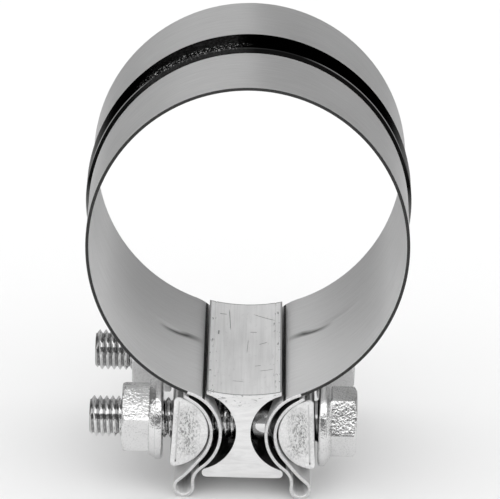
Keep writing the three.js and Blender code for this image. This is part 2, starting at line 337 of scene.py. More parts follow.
def band_section():
    """The sheet's cross-section as (y, offset) pairs round its outline, with chamfered cut edges."""
    edge = BAND_WIDTH / 2
    half = SHEET / 2
    outside = np.linspace(edge - CUT_CHAMFER, BEAD_HALF_WIDTH + BEAD_EASE, 40)
    wall = np.linspace(BEAD_HALF_WIDTH + BEAD_EASE * 0.8, BEAD_CROWN_HALF_WIDTH - BEAD_EASE, 14)
    crown = np.linspace(BEAD_CROWN_HALF_WIDTH - BEAD_EASE * 1.3, 0, 14)
    side = np.concatenate([outside, wall, crown])
    across = np.concatenate([-side, side[-2::-1]])
    upper = [(y, half) for y in across]
    lower = [(y, -half) for y in across[::-1]]
    right_edge = [(edge, half - CUT_CHAMFER), (edge, CUT_CHAMFER - half)]
    left_edge = [(-edge, CUT_CHAMFER - half), (-edge, half - CUT_CHAMFER)]
    return np.array(upper + right_edge + lower + left_edge)


def bead_height(y, degrees):
    """The raised bead, which runs out below the ring's sides."""
    left = BEAD_HALF_WIDTH - np.abs(y)
    ramp = eased_ramp(left, BEAD_EASE) - eased_ramp(left - BEAD_WALL, BEAD_EASE)
    return BEAD_RISE * ramp / BEAD_WALL * (1 - smooth_step(degrees, *BEAD_FADE))


def eased_ramp(value, ease):
    """max(value, 0) with its corner rounded over the distance ease each side."""
    corner = (np.clip(value, -ease, ease) + ease) ** 2 / (4 * ease)
    return np.where(value > ease, value, corner)


def crease_height(y, degrees, x):
    """The crease where the bead's far side ends beside the block, further back on the right."""
    grown = smooth_step(degrees, *CREASE_GROWS)
    centre = np.where(x < 0, CREASE_LEFT_Y, CREASE_RIGHT_Y) + CREASE_DRIFT * grown
    depth = CREASE_DEPTH * grown * (1 - smooth_step(degrees, *CREASE_ENDS))
    return depth * np.exp(-((y - centre) / CREASE_WIDTH) ** 2)


def free_end_faces(rows, columns):
    """Quads across the sheet's two free ends.

    Known fault: the loop runs one column too far and the last two quads aren't needed. They keep the
    band from being a closed mesh, and cutting it then leaves stray faces at the rear slots."""
    last = (rows - 1) * columns
    faces = []
    for column in range(columns // 2 - 1):
        across = columns - 3 - column
        faces.append((across, across - 1, column + 1, column))
        faces.append((last + column, last + column + 1, last + across - 1, last + across))
    edge = columns - 1
    inner_edge = (columns - 4) // 2 + 1
    faces.append((edge, edge - 1, edge - 2, 0))
    faces.append((last, last + edge - 2, last + edge - 1, last + edge))
    faces.append((inner_edge - 1, inner_edge + 2, inner_edge + 1, inner_edge))
    faces.append((last + inner_edge, last + inner_edge + 1, last + inner_edge + 2, last + inner_edge - 1))
    return faces


def build_band(materials):
    points, normals, angles = whole_path()
    section = band_section()
    y, offset = section[:, 0], section[:, 1]
    lift = offset[None, :] + bead_height(y[None, :], angles[:, None])
    lift = lift + crease_height(y[None, :], angles[:, None], points[:, :1])
    x = points[:, :1] + normals[:, :1] * lift
    z = points[:, 1:] + normals[:, 1:] * lift + BORE_Z
    vertices = np.stack([x, np.broadcast_to(y, x.shape), z], -1).reshape(-1, 3)
    size = (len(points), len(section))
    band = make_object("band", vertices, grid_faces(*size) + free_end_faces(*size), materials)
    slots = [
        rod_along_x((side * SLOT_CENTRE_X, y, BOLT_Z), SLOT_HALF_WIDTH, SLOT_HALF_HEIGHT, SLOT_LENGTH)
        for side in (-1, 1)
        for y in (FRONT_Y, REAR_Y)
    ]
    cut(band, slots)
    paint_band_faces(band)
    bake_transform(band)
    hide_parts("band_left_half", "band_right_half")


def faces_gap(place):
    """Whether a place on the sheet lies in the gap inside a fold, or in the one beside the block."""
    margin = 1 * MM
    near = SHEET / 8
    x = abs(place.x)
    from_curl = math.hypot(x - CURL_CENTRE[0], place.z - BOLT_Z)
    from_fold = math.hypot(x - BAR_CENTRE_X, place.z - BOLT_Z)
    in_fold = (
        abs(from_curl - (CURL_RADIUS - SHEET / 2)) < near
        or abs(from_fold - (FOLD_RADIUS + SHEET / 2)) < near
    )
    beside_block = x < BLOCK_TOP_HALF + margin and place.z > BOLT_Z + BLOCK_HOLLOW_TOP - margin
    low = place.z < BORE_Z - 0.9 * RING_HALF_Z and x < LOOP_CENTRE_X - margin
    return low and (in_fold or beside_block)


def paint_band_faces(band):
    """Gives each part of the sheet its own one of the seven materials."""
    satin, bead_reflection, shaded_cut_edge, lit_cut_edge, loop_inside, fold_gap, bore = range(7)
    for face in band.data.polygons:
        centre = face.center
        radial = Vector((centre.x, 0, centre.z - BORE_Z))
        on_ring = centre.z > BORE_Z - 0.93 * RING_HALF_Z
        loop_middle = Vector((math.copysign(LOOP_CENTRE_X, centre.x), centre.y, LOOP_RADIUS + SHEET / 2))
        to_loop = loop_middle - centre
        # The cut edge is painted dark on the ring and light below it, on the curls and loops, as shade
        # and light.
        if abs(face.normal.y) > 0.5 and abs(centre.y) > BAND_WIDTH / 2 - CUT_CHAMFER:
            face.material_index = shaded_cut_edge if on_ring else lit_cut_edge
        elif to_loop.length < LOOP_RADIUS and face.normal.dot(to_loop) > 0:
            face.material_index = loop_inside
        # Faces in the narrow gaps are painted near black as shade.
        elif faces_gap(centre):
            face.material_index = fold_gap
        # The bead's outside, painted dark as a reflection, with painted highlights.
        elif abs(centre.y) < BEAD_HALF_WIDTH and on_ring and face.normal.dot(radial) > 0:
            face.material_index = bead_reflection
        elif face.normal.dot(radial) < 0 and centre.z > BORE_Z - RING_HALF_Z:
            face.material_index = bore
        else:
            face.material_index = satin


# ------------------------------------------------------------------ block and bars

def extrude_outline(name, outline, length, materials):
    """A closed outline in (x, z), extruded along Y about the bore's middle."""
    vertices = [(x, y, z) for y in (-length / 2, length / 2) for x, z in outline]
    count = len(outline)
    faces = grid_faces(2, count)
    faces.append(tuple(range(count)))
    faces.append(tuple(range(count, 2 * count)))
    return make_object(name, vertices, faces, materials)


def block_outline():
    """The block's I section about the bolt axis, anticlockwise seen from the front."""
    bore_above = BORE_Z - BOLT_Z
    base = BOLT_Z - BLOCK_LOW.z
    top_radius = math.hypot(BLOCK_TOP_HALF, bore_above - BLOCK_TOP_EDGE)
    spread = math.degrees(math.asin(BLOCK_TOP_HALF / top_radius))
    side = BLOCK_TOP_HALF - BLOCK_WAIST / 2
    hollow_radius = (side ** 2 + BLOCK_HOLLOW_TOP ** 2) / (2 * side)
    hollow_x = BLOCK_WAIST / 2 + hollow_radius
    shelf = BLOCK_BASE_THICKNESS - base
    at = [math.degrees(math.asin(z / hollow_radius)) for z in (BLOCK_HOLLOW_TOP, shelf)]

    top = arc_points((0, bore_above), top_radius, -90, -90 + spread, 10)
    hollow = arc_points((hollow_x, 0), hollow_radius, 180 - at[0], 180 - at[1], 40)
    shoulder = 1 * MM
    edge_x = BLOCK_BASE_HALF - shoulder
    upper = arc_points((edge_x, shelf - shoulder), shoulder, 90, 0, 7)
    lower = arc_points((edge_x, shoulder - base), shoulder, 0, -90, 7)
    right = np.concatenate([scored_top(top), hollow, upper, lower])
    left = right[::-1][:-1] * [-1, 1]
    return np.concatenate([right, left])


def scored_top(top):
    """Adds the shallow line that runs along the top face just inside each long edge."""
    inset, width, depth = 1.5 * MM, 0.35 * MM, 0.16 * MM
    corner = top[-1]
    kept = top[top[:, 0] < corner[0] - inset - width]
    along = (top[-1] - top[-2]) / np.linalg.norm(top[-1] - top[-2])
    down = np.array([along[1], -along[0]])
    line = [
        corner - along * (inset + width),
        corner - along * (inset + width / 2) + down * depth,
        corner - along * inset,
        corner,
    ]
    return np.concatenate([kept, line])


def build_block(materials):
    outline = block_outline() + [0, BOLT_Z]
    block = extrude_outline("block", outline, BLOCK_HIGH.y - BLOCK_LOW.y, materials)
    bevel(block, 0.5 * MM, angle=40)
    cut(block, bolt_holes(0, BLOCK_HOLE_LENGTH))
    paint_ends(block, (BLOCK_HIGH.y - BLOCK_LOW.y) / 2)
    paint_hollows(block)
    stand_for(block, "spacer_block")


def paint_ends(piece, half_length):
    """Second material on the sawn or sheared end faces."""
    for face in piece.data.polygons:
        if abs(face.normal.y) > 0.9 and abs(face.center.y) > half_length - 0.4 * MM:
            face.material_index = 1


def paint_hollows(block):
    """Third material, painted dark as shade, on the round hollows in the block's sides and on its bolt
    holes.
    """
    foot = BLOCK_LOW.z + BLOCK_BASE_THICKNESS
    for face in block.data.polygons:
        x, _, z = face.center
        inside = abs(x) < BLOCK_TOP_HALF - 0.1 * MM
        in_height = foot - 0.05 * MM < z < BOLT_Z + BLOCK_HOLLOW_TOP
        on_top = face.normal.z > 0.5 and z > BOLT_Z
        if face.material_index == 0 and inside and in_height and not on_top:
            face.material_index = 2


def bar_outline():
    """The right bar's section about the centre of its round face, round face towards the block."""
    corner_x = -BAR_FLAT_INSET - BAR_CORNER
    corner_z = math.sqrt((BAR_RADIUS - BAR_CORNER) ** 2 - corner_x ** 2)
    tangent = math.degrees(math.atan2(corner_z, corner_x))
    upper = arc_points((corner_x, corner_z), BAR_CORNER, 0, tangent, 8)
    face = arc_points((0, 0), BAR_RADIUS, tangent, 360 - tangent, 64)
    lower = arc_points((corner_x, -corner_z), BAR_CORNER, -tangent, 0, 8)
    return np.concatenate([upper, face[1:], lower[1:]])


def build_bar(name, node, side, materials):
    outline = leaned(bar_outline(), BAR_SPLAY) * [side, 1]
    if side < 0:
        outline = outline[::-1]
    bar = extrude_outline(name, outline + [side * BAR_CENTRE_X, BOLT_Z], BAR_LENGTH, materials)
    bevel(bar, 0.3 * MM, angle=50)
    grooves = [score_box(side, end) for end in (-1, 1)]
    cut(bar, bolt_holes(side * BAR_CENTRE_X, BAR_HOLE_LENGTH) + grooves)
    paint_ends(bar, BAR_LENGTH / 2)
    stand_for(bar, node)


def score_box(side, end):
    """A thin cutter for the line across a bar's end, just inside its flat."""
    inset, depth = 1.35 * MM, 0.6 * MM
    half_width, half_height = 0.36 * MM / 2, BAR_RADIUS * 1.7 / 2
    flat_x = BAR_CENTRE_X - BAR_FLAT_INSET
    outline = np.array([
        (-half_width, -half_height),
        (half_width, -half_height),
        (half_width, half_height),
        (-half_width, half_height),
    ])
    outline = leaned(outline, side * BAR_SPLAY) + [side * (flat_x - inset), BOLT_Z]
    box = extrude_outline("cutter", outline, 2 * depth, [])
    box.location.y = end * BAR_LENGTH / 2
    bpy.context.view_layer.update()
    return box


# ------------------------------------------------------------------ fasteners

def turned_rings(rings, closed=False):
    """Vertices and faces of a piece turned about X, from (x, radii) rings.

    Either value may vary round the axis."""
    columns = len(rings[0][1])
    turns = np.linspace(0, 2 * math.pi, columns, endpoint=False)
    vertices = []
    for x, radii in rings:
        places = np.broadcast_to(x, turns.shape)
        vertices += list(np.stack([places, radii * np.cos(turns), radii * np.sin(turns)], 1))
    faces = grid_faces(len(rings), columns, wrap_rows=closed)
    if not closed:
        last = (len(rings) - 1) * columns
        faces.append(tuple(range(columns)))
        faces.append(tuple(range(last, last + columns)))
    return vertices, faces


def plain_rings(profile, columns):
    """Round rings from (x, radius) pairs."""
    return [(x, np.full(columns, radius)) for x, radius in profile]


def hexagon_radii(across_flats, columns, turn):
    """Distance to a hexagon's sides all the way round, with slightly eased corners."""
    sharpness = 70
    turns = np.linspace(0, 2 * math.pi, columns, endpoint=False)[:, None]
    normals = np.radians(np.arange(6) * 60 + turn)[None, :]
    reach = np.clip(np.cos(turns - normals), 0, None) ** sharpness
    return across_flats / 2 / reach.sum(1) ** (1 / sharpness)


def flange_and_hexagon(size, columns):
    """Rings of a flange whose face is at x = 0, its cone, and the hexagon that stands on it along +X."""
    radius, rim = size["flange_radius"], size["rim"]
    ease = 0.35 * MM
    relief = 0.12 * MM
    rings = plain_rings([
        (0, radius - 0.9 * MM),
        (relief, radius - ease),
        (relief + ease * 0.6, radius - ease * 0.2),
        (relief + ease, radius),
        (rim - ease, radius),
        (rim - ease * 0.3, radius - ease * 0.3),
        (rim, radius - ease),
    ], columns)
    hexagon = hexagon_radii(size["across_flats"], columns, size["turn"])
    foot = size["cone_height"]
    for share in np.linspace(0.12, 1, 9):
        x = rim + (foot - rim) * (1 - (1 - share) ** 1.6)
        cone = radius - ease + (size["cone_top_radius"] - radius + ease) * share
        rings.append((x, np.maximum(np.full(columns, cone), np.minimum(hexagon, cone + 0.2 * MM))))
    corner = size["across_flats"] / math.sqrt(3)
    crown = size["height"]
    slope = math.tan(math.radians(30))
    chamfer = (corner - size["across_flats"] / 2) * slope
    top = crown - chamfer * 1.6
    for x in np.concatenate([[foot + 0.15 * MM], np.linspace(foot + 1 * MM, top, 5)]):
        rings.append((x, hexagon))
    for x in np.linspace(top, crown, 7)[1:]:
        cone = size["across_flats"] / 2 * 0.985 + (crown - x) / slope
        rings.append((x, np.minimum(hexagon, cone)))
    return rings


HEAD = {
    "flange_radius": 10.95 * MM,
    "rim": 1.9 * MM,
    "cone_height": 3.2 * MM,
    "cone_top_radius": 8.3 * MM,
    "across_flats": 15 * MM,
    "height": 9.3 * MM,
    "turn": 29.8,  # degrees round the bolt from a flat facing along the bore
}

NUT = {
    "flange_radius": 10.2 * MM,
    "rim": 1.9 * MM,
    "cone_height": 3.3 * MM,
    "cone_top_radius": 8.9 * MM,
    "across_flats": 16 * MM,
    "height": 9.9 * MM,
    "turn": 49.8,
    "bore_radius": 5.12 * MM,
}


def thread_rings(start, end, columns):
    """Rings of a right-hand thread along +X that eases in at both ends."""
    per_turn = 16
    turns = np.linspace(0, 1, columns, endpoint=False)
    rings = []
    for x in np.linspace(start, end, int((end - start) / PITCH * per_turn)):
        phase = (x / PITCH - turns) % 1
        flank = np.clip(np.abs(phase - 0.5) * 2 * 1.28 - 0.14, 0, 1)
        radii = THREAD_MAJOR - (THREAD_MAJOR - THREAD_MINOR) * flank
        chamfer = THREAD_MAJOR - 1.05 * MM + (x - start) * 1.1
        runout = THREAD_MINOR + max(x - (end - 1.2 * PITCH), 0) * 0.55
        rings.append((x, np.minimum(np.maximum(radii, runout), max(chamfer, 0))))
    return rings


def build_bolt(name, node, y, materials):
    columns = 96
    tip = BOLT_TIP_X - HEAD_X
    thread_end = tip + THREAD_LENGTH
    rings = plain_rings([(tip + 0.25 * MM, 0.4 * MM), (tip, 1.2 * MM), (tip, 3.3 * MM)], columns)
    rings += thread_rings(tip + 0.05 * MM, thread_end, columns)
    rings += plain_rings([
        (thread_end + 0.4 * MM, SHANK_RADIUS - 0.1 * MM),
        (thread_end + 0.6 * MM, SHANK_RADIUS),
        (-0.7 * MM, SHANK_RADIUS),
        (-0.25 * MM, SHANK_RADIUS + 0.12 * MM),
        (0.0, SHANK_RADIUS + 0.5 * MM),
    ], columns)
    rings += flange_and_hexagon(HEAD, columns)
    crown = HEAD["height"]
    rings += plain_rings([
        (crown, 6.9 * MM),
        (crown - 0.02 * MM, 5.4 * MM),
        (crown - 0.28 * MM, 5.0 * MM),
        (crown - 0.3 * MM, 3.0 * MM),
        (crown - 0.3 * MM, 0.4 * MM),
    ], columns)
    vertices, faces = turned_rings(rings)
    placed = np.array(vertices) + [HEAD_X, y, BOLT_Z]
    bolt = make_object(name, placed, faces, materials, FASTENER_SHARP_DEGREES)
    stand_for(bolt, node)


def build_nut(name, node, y, materials):
    """A flange nut whose face looks along +X. It is turned about with its flange at x = 0."""
    columns = 144
    teeth = 24
    turns = np.linspace(0, 1, columns, endpoint=False)
    notch = 0.14 * MM * (np.abs(((turns * teeth) % 1) - 0.5) * 2)
    bore, crown = NUT["bore_radius"], NUT["height"]
    rings = plain_rings([
        (crown - 1.1 * MM, bore),
        (1.1 * MM, bore),
        (0.15 * MM, bore + 0.95 * MM),
    ], columns)
    rings.append((np.full(columns, 0.15 * MM), np.full(columns, 7.3 * MM)))
    rings.append((notch, np.full(columns, 7.6 * MM)))
    rings.append((notch, np.full(columns, NUT["flange_radius"] - 1 * MM)))
    rings += flange_and_hexagon(NUT, columns)
    rings += plain_rings([
        (crown, 7.1 * MM),
        (crown, bore + 0.75 * MM),
    ], columns)
    vertices, faces = turned_rings(rings, closed=True)
    face_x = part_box(node)[1].x
    placed = np.array(vertices) * [-1, -1, 1] + [face_x, y, BOLT_Z]
    nut = make_object(name, placed, faces, materials, FASTENER_SHARP_DEGREES)
    stand_for(nut, node)


# ------------------------------------------------------------------ materials

NOISE_LEVELS = (0.3, 0.7)  # most of a noise texture lies between these


class Wiring:
    """A short way to wire a node tree."""

    def __init__(self, tree):
        self.tree = tree

    def plug(self, socket, value):
        if isinstance(value, bpy.types.NodeSocket):
            self.tree.links.new(value, socket)
        else:
            socket.default_value = value

    def add(self, kind, **inputs):
        node = self.tree.nodes.new(kind)
        for name, value in inputs.items():
            self.plug(node.inputs[name], value)
        return node

    def mix(self, value, start, end, low=0, high=1):
        """Runs from start to end as value goes from low to high."""
        node = self.add("ShaderNodeMapRange", Value=value)
        for name, number in (("From Min", low), ("From Max", high), ("To Min", start), ("To Max", end)):
            self.plug(node.inputs[name], number)
        return node.outputs["Result"]

    def step(self, value, low, high):
        return self.mix(value, 0, 1, low, high)

    def window(self, value, low, high, fade):
        """1 while value is between low and high, falling to 0 over fade outside them."""
        rising = self.step(value, low - fade, low)
        falling = self.step(value, high + fade, high)
        return self.times(rising, falling)

    def ramp(self, value, stops):
        """Grey levels at positions from 0 to 1, straight between them."""
        node = self.add("ShaderNodeValToRGB", Fac=value)
        elements = node.color_ramp.elements
        ends = (elements[0], stops[0]), (elements[1], stops[-1])
        for element, (position, shade) in ends:
            element.position = position
            element.color = (shade, shade, shade, 1)
        for position, shade in stops[1:-1]:
            elements.new(position).color = (shade, shade, shade, 1)
        return node.outputs["Color"]

    def math(self, operation, *values):
        node = self.add("ShaderNodeMath")
        node.operation = operation
        for socket, value in zip(node.inputs, values):
            self.plug(socket, value)
        return node.outputs["Value"]

    def plus(self, first, second):
        return self.math("ADD", first, second)

    def minus(self, first, second):
        return self.math("SUBTRACT", first, second)

    def times(self, first, second):
        return self.math("MULTIPLY", first, second)

    def larger(self, first, second):
        return self.math("MAXIMUM", first, second)


class Nodes(Wiring):
    """A material's node tree, placed by the object's own coordinates."""

    def __init__(self, name):
        self.material = bpy.data.materials.new(name)
        self.material.use_nodes = True
        super().__init__(self.material.node_tree)
        self.surface = self.tree.nodes["Principled BSDF"]
        self.place = self.add("ShaderNodeTexCoord").outputs["Object"]

    def scaled_place(self, x, y, z):
        mapping = self.add("ShaderNodeMapping", Vector=self.place)
        mapping.inputs["Scale"].default_value = (x, y, z)
        return mapping.outputs["Vector"]

    def noise(self, scale, detail=4, place=None, roughness=0.55, distortion=0.0):
        node = self.add("ShaderNodeTexNoise", Vector=place or self.place, Scale=scale, Detail=detail)
        node.inputs["Roughness"].default_value = roughness
        node.inputs["Distortion"].default_value = distortion
        return node.outputs["Fac"]

    def axes(self):
        return self.add("ShaderNodeSeparateXYZ", Vector=self.place).outputs

    def stretch_along_bore(self, amount):
        """Elongates highlights along Y, which lies in every face that is drawn out along the bore."""
        along = self.add("ShaderNodeCombineXYZ", Y=1.0).outputs["Vector"]
        self.plug(self.surface.inputs["Anisotropic"], amount)
        self.plug(self.surface.inputs["Tangent"], along)

    def darken_glancing(self, amount):
        """Sets how bright the metal is when seen at a glancing angle, where 1 is white."""
        if isinstance(amount, bpy.types.NodeSocket):
            self.tree.links.new(amount, self.surface.inputs["Specular Tint"])
        else:
            self.surface.inputs["Specular Tint"].default_value = (amount, amount, amount, 1)

    def bump(self, height, distance):
        return self.add("ShaderNodeBump", Height=height, Distance=distance).outputs["Normal"]

    def finish(self, colour, roughness, normal=None, metallic=1.0):
        self.plug(self.surface.inputs["Base Color"], colour)
        self.plug(self.surface.inputs["Roughness"], roughness)
        self.plug(self.surface.inputs["Metallic"], metallic)
        if normal is not None:
            self.plug(self.surface.inputs["Normal"], normal)
        return self.material


def satin_stainless(name, bright, sides):
    """Rolled sheet: a fine grain round the ring, which spreads reflections along the bore, and painted
    shade at the foot of each crease. Each copy has its own painted brightness, and its own painted level
    at the ring's two sides."""
    n = Nodes(name)
    x, y, z = n.axes()
    from_middle = n.math("ABSOLUTE", x)
    crease_y = n.mix(from_middle, 5.0 * MM, 3.5 * MM, low=14 * MM, high=19 * MM)
    crease_y = n.plus(crease_y, n.times(n.math("SIGN", x), 1.3 * MM))
    off_crease = n.minus(y, crease_y)
    # Painted shade along the crease's foot beside the block, low on the ring.
    beside_block = n.window(from_middle, 14.5 * MM, 17 * MM, 4.5 * MM)
    on_crease = n.window(off_crease, -0.5 * MM, 0.3 * MM, 1.5 * MM)
    low = n.window(z, BORE_Z - 0.97 * RING_HALF_Z, BORE_Z - 0.8 * RING_HALF_Z, 1 * MM)
    painted_crease_shade = n.times(n.times(beside_block, on_crease), low)
    cloud = n.noise(60, 3)
    grain = n.noise(2600, 3, n.scaled_place(0.05, 1, 0.05))
    # A band at the ring's two sides with its own painted brightness, as shade.
    painted_side_band = n.window(z, BORE_Z - 0.05 * RING_HALF_Z, BORE_Z + 0.15 * RING_HALF_Z, 0.35 * RING_HALF_Z)
    shade = n.times(n.mix(painted_side_band, bright, sides), n.mix(painted_crease_shade, 1.0, 0.2))
    colour = n.times(n.mix(grain, 0.94, 1.04, *NOISE_LEVELS), shade)
    roughness = n.mix(cloud, 0.42, 0.46, *NOISE_LEVELS)
    n.stretch_along_bore(0.85)
    # Glancing reflections are darkened, a painted shade.
    n.darken_glancing(0.45)
    return n.finish(colour, roughness, n.bump(grain, 0.003 * MM))


def loop_inside():
    """The duller inside of the folded loops."""
    n = Nodes("loop_inside")
    grain = n.noise(2000, 3, n.scaled_place(1, 0.1, 1))
    return n.finish(n.mix(grain, 0.75, 0.95, *NOISE_LEVELS), 0.5, n.bump(grain, 0.01 * MM), metallic=0.0)


def fold_gap():
    """The faces inside each fold and in the gap beside the block, painted near black as the shade in
    these narrow gaps.
    """
    n = Nodes("fold_gap")
    # A slight mottle in the painted shade.
    gap_shade_mottle = n.noise(900, 3)
    n.plug(n.surface.inputs["Specular IOR Level"], 0.1)
    return n.finish(n.mix(gap_shade_mottle, 0.02, 0.05, *NOISE_LEVELS), 0.5, n.bump(gap_shade_mottle, 0.01 * MM), metallic=0.0)


def polished_bead():
    """The bead's outside: a near-black crown and walls, painted dark as a reflection, with painted
    highlights along the crown's edges and a patch of drawn marks with painted glints left of the top."""
    n = Nodes("polished_bead")
    x, across, height = n.axes()
    from_middle = n.math("ABSOLUTE", across)
    # Where the painted highlight along the crown's edges shows brightest, on the right and the left.
    right_side = n.window(x, 19 * MM, 32 * MM, 7 * MM)
    left_side = n.window(x, -36 * MM, -27 * MM, 4 * MM)
    highlit_sides = n.plus(right_side, left_side)
    highlight_strength = n.plus(n.times(highlit_sides, 0.9), 0.1)
    crown_edge = BEAD_CROWN_HALF_WIDTH
    # The painted highlight along each edge of the crown.
    line = n.window(from_middle, crown_edge - 0.1 * MM, crown_edge + 0.12 * MM, 0.12 * MM)
    foot = n.window(from_middle, BEAD_HALF_WIDTH + 0.1 * MM, BEAD_HALF_WIDTH + 1 * MM, 0.2 * MM)
    run_out = n.window(height, -1, BORE_Z - 6 * MM, 14 * MM)

    # The patch of drawn marks, with painted glints of reflection near the crown's front edge.
    patch = n.window(x, -24 * MM, -4 * MM, 5 * MM)
    marks = n.noise(2400, 4, n.scaled_place(1, 0.5, 1), roughness=0.7, distortion=0.8)
    near_edge = n.window(across, -4.5 * MM, -1.8 * MM, 1.2 * MM)
    painted_glints = n.times(n.step(marks, 0.56, 0.64), n.times(patch, near_edge))

    # The crown and walls are painted near black as a reflection, a little lighter in the patch.
    crown = n.plus(n.times(patch, n.mix(marks, 0.02, 0.14, *NOISE_LEVELS)), 0.03)
    painted_highlight = n.larger(n.times(line, highlight_strength), n.times(painted_glints, 0.8))
    shade = n.larger(crown, painted_highlight)
    shade = n.larger(shade, n.times(n.larger(foot, run_out), 0.6))
    # Glancing reflections follow the same painted reflection and highlights.
    n.darken_glancing(n.times(shade, 1.6))
    roughness = n.mix(n.larger(foot, run_out), 0.14, 0.32)
    return n.finish(shade, roughness, n.bump(n.times(marks, patch), 0.03 * MM))


def cut_edge(name, shade):
    """Sheared edge of the sheet, coarser than its faces."""
    n = Nodes(name)
    tear = n.noise(2500, 3, n.scaled_place(1, 0.4, 1))
    colour = n.ramp(tear, [(0.3, shade * 0.75), (0.75, shade)])
    return n.finish(colour, 0.4, n.bump(tear, 0.02 * MM))


SCRATCHES = (
    # middle (x, y), length and width in millimetres, angle from X in degrees
    (-3.9, 17, 11, 0.16, 92),
    (-5.6, 20, 1.6, 0.3, 6),
    (4.6, 18.5, 6.5, 0.2, -42),
    (2.0, 10, 1.6, 0.26, -8),
    (4.4, 3, 2.0, 0.24, 25),
    (-6.6, 8.5, 2.2, 0.3, 88),
    (0.6, 1.5, 7.0, 0.1, 88),
    (5.3, -13, 3.0, 0.2, 4),
    (-1.6, -19, 2.4, 0.18, 0),
    (3.2, -10, 1.4, 0.2, 12),
)


def scratch(n, x, y, middle_x, middle_y, length, width, degrees):
    """1 along one straight scratch on the block's top."""
    turn = math.radians(degrees)
    dx = n.plus(x, -middle_x * MM)
    dy = n.plus(y, -middle_y * MM)
    along = n.plus(n.times(dx, math.cos(turn)), n.times(dy, math.sin(turn)))
    across = n.minus(n.times(dy, math.cos(turn)), n.times(dx, math.sin(turn)))
    half = length / 2 * MM
    return n.times(
        n.window(along, -half * 0.8, half * 0.8, half * 0.4),
        n.window(across, -width / 4 * MM, width / 4 * MM, width / 2 * MM),
    )


def scuffed_steel():
    """The block's top and foot: light satin metal with drawn lines along it, nicks and scratches."""
    n = Nodes("scuffed_steel")
    x, y, _ = n.axes()
    drawn = n.noise(1500, 4, n.scaled_place(1, 0.03, 1))
    cross = n.noise(700, 3, n.scaled_place(0.15, 1, 1))
    cloud = n.noise(160, 3, n.scaled_place(1, 0.4, 1))
    wear = n.step(n.noise(1300, 3, n.scaled_place(1, 0.35, 1), distortion=0.5), 0.62, 0.7)
    from_middle = n.math("ABSOLUTE", x)
    edge = n.window(from_middle, BLOCK_TOP_HALF - 1.9 * MM, BLOCK_TOP_HALF - 0.2 * MM, 0.3 * MM)
    marks = n.times(wear, n.math("MULTIPLY_ADD", edge, 0.8, 0.12))
    # Darker along the top's long edges and across its ends.
    along_edge = n.step(from_middle, BLOCK_TOP_HALF - 0.5 * MM, BLOCK_TOP_HALF - 0.3 * MM)
    across_end = n.step(n.math("ABSOLUTE", y), BLOCK_HIGH.y - 0.5 * MM, BLOCK_HIGH.y - 0.3 * MM)
    marks = n.larger(marks, n.times(n.larger(along_edge, across_end), 0.85))
    for line in SCRATCHES:
        marks = n.larger(marks, scratch(n, x, y, *line))
    pale = n.plus(n.mix(cloud, 0.84, 0.94, *NOISE_LEVELS), n.mix(drawn, -0.06, 0.06, *NOISE_LEVELS))
    colour = n.times(pale, n.mix(marks, 1.0, 0.25))
    height = n.plus(n.times(drawn, 0.3), n.times(cross, 0.12))
    height = n.minus(height, marks)
    n.stretch_along_bore(0.5)
    return n.finish(colour, 0.5, n.bump(height, 0.03 * MM), metallic=0.5)


def polished_hollow():
    """The block's two round hollows, drawn smooth and painted dark as shade."""
    n = Nodes("polished_hollow")
    drawn = n.noise(900, 3, n.scaled_place(1, 0.03, 1))
    return n.finish(n.mix(drawn, 0.22, 0.36, *NOISE_LEVELS), 0.22, n.bump(drawn, 0.006 * MM))


def sawn_end():
    """The block's end faces: bright, with broad curved cutting marks and a torn strip under the top."""
    n = Nodes("sawn_end")
    _, _, z = n.axes()
    strokes = n.noise(420, 5, n.scaled_place(0.3, 1, 1.5), roughness=0.62, distortion=1.2)
    torn = n.noise(900, 4, n.scaled_place(0.6, 1, 1.6), roughness=0.7, distortion=1.0)
    under_top = n.window(z, BOLT_Z + 7 * MM, BOLT_Z + 11.5 * MM, 1.5 * MM)
    nick = n.times(n.step(torn, 0.58, 0.68), under_top)
    colour = n.times(n.mix(strokes, 0.78, 0.9, low=0.3, high=0.6), n.mix(nick, 1.0, 0.35))
    height = n.plus(n.times(strokes, 0.3), n.times(torn, under_top))
    return n.finish(colour, 0.4, n.bump(height, 0.15 * MM), metallic=0.7)


def plated_bar():
    """The bars' long faces: light plated steel with a fine orange peel."""
    n = Nodes("plated_bar")
    orange = n.noise(700, 3)
    return n.finish(n.ramp(orange, [(0.3, 0.6), (0.7, 0.72)]), 0.3, n.bump(orange, 0.02 * MM))


def cast_end():
    """The bars' end faces: sheared metal, with a rough grey patch in the middle."""
    n = Nodes("cast_end")
    x, _, z = n.axes()
    from_middle = n.math("ABSOLUTE", x)
    strokes = n.noise(3000, 4, n.scaled_place(1, 1, 0.55), roughness=0.65, distortion=0.5)
    coarse = n.noise(1300, 4, roughness=0.65, distortion=0.6)
    patch = n.times(
        n.window(from_middle, 12.5 * MM, 14.5 * MM, 2.4 * MM),
        n.window(z, BOLT_Z - 4.5 * MM, BOLT_Z + 4.5 * MM, 2.5 * MM),
    )
    dark = n.times(n.step(strokes, 0.48, 0.62), n.math("MULTIPLY_ADD", patch, 0.86, 0.1))
    colour = n.times(n.mix(coarse, 0.78, 0.95, low=0.35, high=0.65), n.mix(dark, 1.0, 0.25))
    height = n.times(n.plus(strokes, coarse), n.math("MULTIPLY_ADD", patch, 0.7, 0.3))
    return n.finish(colour, 0.34, n.bump(height, 0.22 * MM), metallic=0.8)


